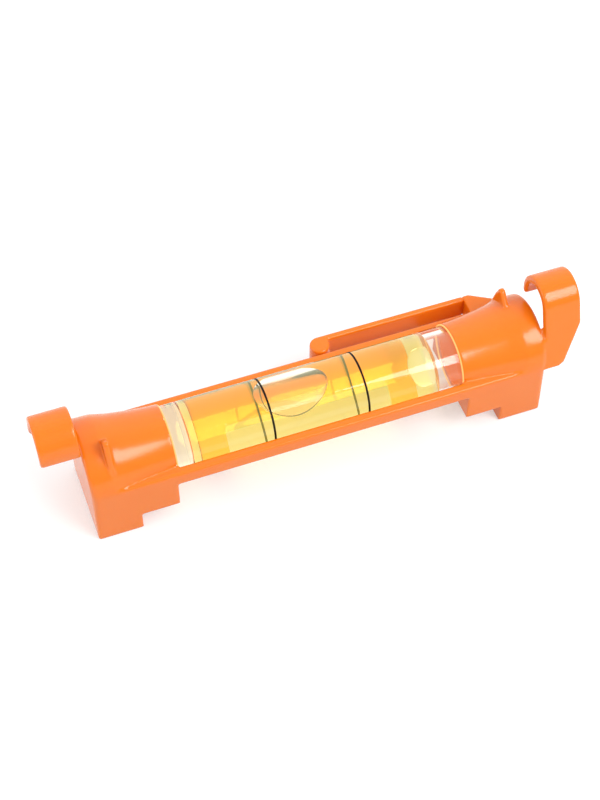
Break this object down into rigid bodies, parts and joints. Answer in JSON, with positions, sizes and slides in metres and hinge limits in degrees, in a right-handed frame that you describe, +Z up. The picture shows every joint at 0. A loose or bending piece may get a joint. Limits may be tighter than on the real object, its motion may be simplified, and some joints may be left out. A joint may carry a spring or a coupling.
{
  "type": "line level",
  "caption": "Small moulded frame with a string hook at each end, a clear bubble vial with reading lines in the middle and a spring pocket clip on the back.",
  "frame": {"origin": "middle of the part's length and width, at the bottom of the feet", "axes": "+X along the vial, from the blind end towards the end where the vial goes in; -Y is the front and the pocket clip is on the +Y side; +Z up"},
  "size_m": [0.0854, 0.0178, 0.0227],
  "materials": {
    "frame": "satin moulded",
    "pocket_clip": "satin moulded",
    "vial_barrel": "clear polished",
    "vial_plug": "clear",
    "spirit": "clear liquid",
    "bubble": "air",
    "level_line_left": "printed",
    "level_line_right": "printed"
  },
  "bodies": {
    "frame": {"frame": "frame", "vial_barrel": "vial_barrel", "vial_plug": "vial_plug", "spirit": "spirit", "level_line_left": "level_line_left", "level_line_right": "level_line_right"},
    "pocket_clip": {"pocket_clip": "pocket_clip"},
    "bubble": {"bubble": "bubble"}
  },
  "joints": [
    {"name": "clip_flex", "type": "hinge", "parent": "frame", "child": "pocket_clip", "pos_m": [0.0299, 0.0089, 0], "axis": [0, 0, -1], "range_deg": [0, 5], "stiffness_Nm_per_rad": 0.07},
    {"name": "bubble_slide", "type": "slide", "parent": "frame", "child": "bubble", "axis": [1, 0, 0], "range_m": [-0.0105, 0.013]}
  ]
}
